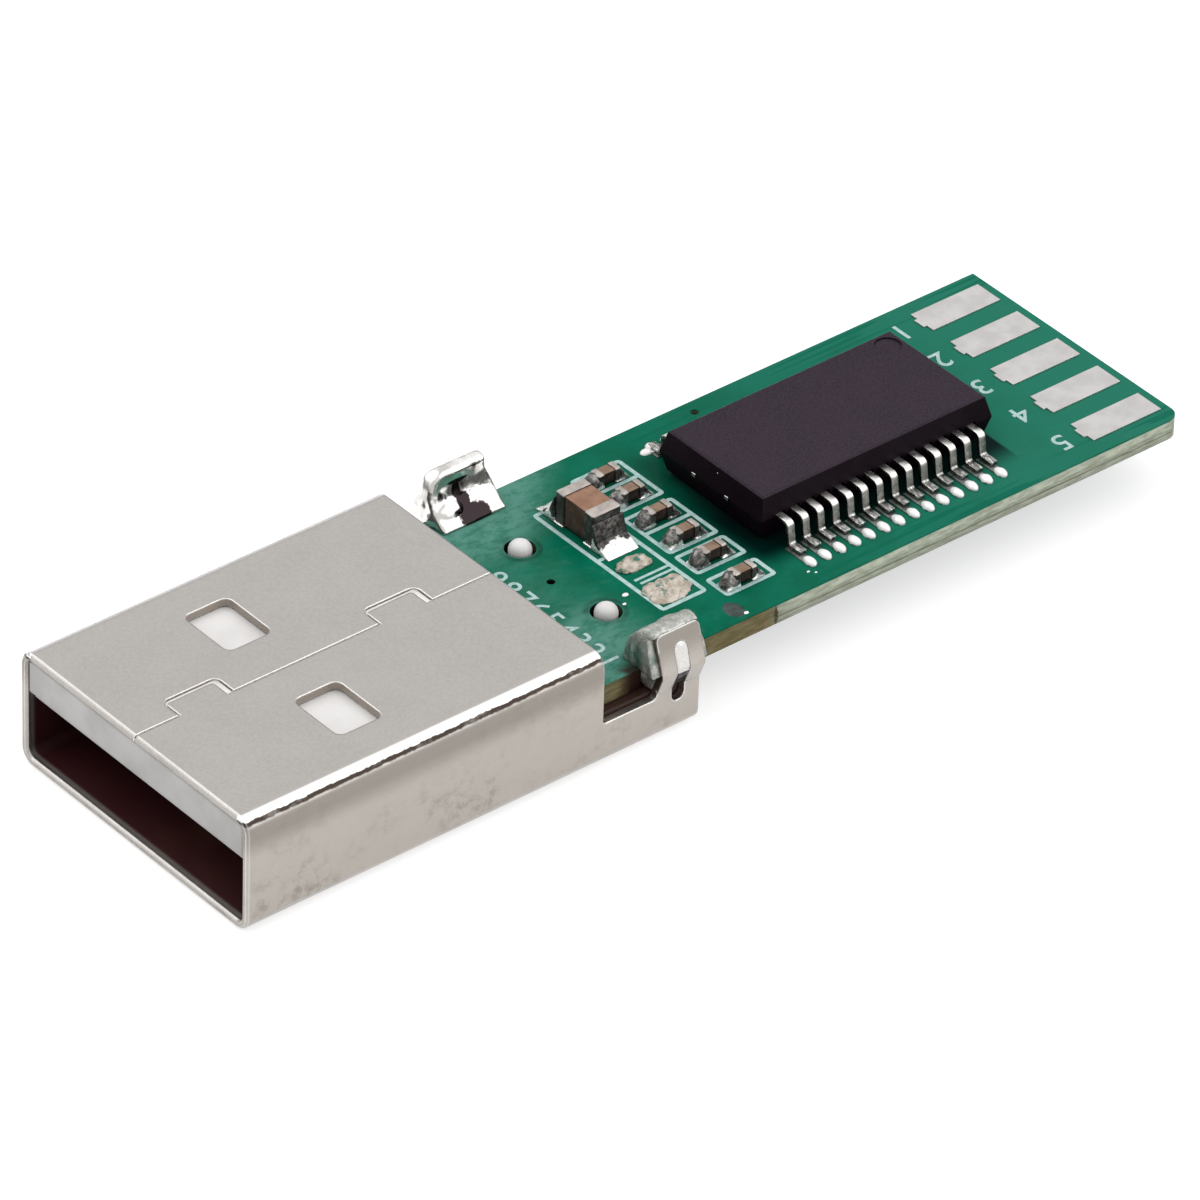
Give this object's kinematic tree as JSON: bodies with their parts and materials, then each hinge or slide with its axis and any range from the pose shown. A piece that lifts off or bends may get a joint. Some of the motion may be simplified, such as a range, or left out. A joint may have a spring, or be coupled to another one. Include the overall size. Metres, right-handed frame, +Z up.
{
  "type": "usb to serial adapter module",
  "caption": "Bare circuit board with a sheet-metal bus plug at one end, a line transceiver and its capacitors on top, a flat bridge chip below, and wire pads at the other end.",
  "frame": {"origin": "on the underside of the plug's shell, under the middle of the module's length and width", "axes": "+X from the plug's mouth to the wire pads, +Z up from the shell's flat underside to its seamed roof"},
  "size_m": [0.0406, 0.0126, 0.0045],
  "materials": {
    "plated_shell": "satin nickel plate, mottled on the side walls",
    "insulator": "moulded white plastic",
    "board": "glossy green solder mask over glass-fibre board",
    "contacts": "gold plate",
    "solder": "bright solder",
    "pads": "tinned copper",
    "chip_mould": "moulded epoxy",
    "leads": "tin plate",
    "ceramic": "fired brown ceramic",
    "bead_ferrite": "fired dark ferrite",
    "end_caps": "matt tin plate"
  },
  "bodies": {
    "root": {"bridge_body": "chip_mould", "bridge_capacitor_1_body": "ceramic", "bridge_capacitor_1_caps": "end_caps", "bridge_capacitor_2_body": "ceramic", "bridge_capacitor_2_caps": "end_caps", "bridge_solder": "solder", "bridge_terminals": "leads", "bridged_pads": "solder", "bulk_capacitor_body": "ceramic", "bulk_capacitor_caps": "end_caps", "chip_part_solder_lower": "solder", "chip_part_solder_upper": "solder", "circuit_board": "board", "contact_solder": "solder", "inner_contact_far": "contacts", "inner_contact_near": "contacts", "leg_solder_far": "solder", "leg_solder_near": "solder", "outer_contact_far": "contacts", "outer_contact_near": "contacts", "plug_insulator": "insulator", "plug_shell": "plated_shell", "small_capacitor_1_body": "ceramic", "small_capacitor_1_caps": "end_caps", "small_capacitor_2_body": "ceramic", "small_capacitor_2_caps": "end_caps", "small_capacitor_3_body": "ceramic", "small_capacitor_3_caps": "end_caps", "small_capacitor_4_body": "ceramic", "small_capacitor_4_caps": "end_caps", "small_capacitor_5_body": "ceramic", "small_capacitor_5_caps": "end_caps", "small_capacitor_6_body": "ceramic", "small_capacitor_6_caps": "end_caps", "supply_bead_body": "bead_ferrite", "supply_bead_caps": "end_caps", "supply_capacitor_body": "ceramic", "supply_capacitor_caps": "end_caps", "transceiver_body": "chip_mould", "transceiver_leads": "leads", "transceiver_solder": "solder", "wire_pads_lower": "pads", "wire_pads_upper": "pads"}
  },
  "joints": []
}
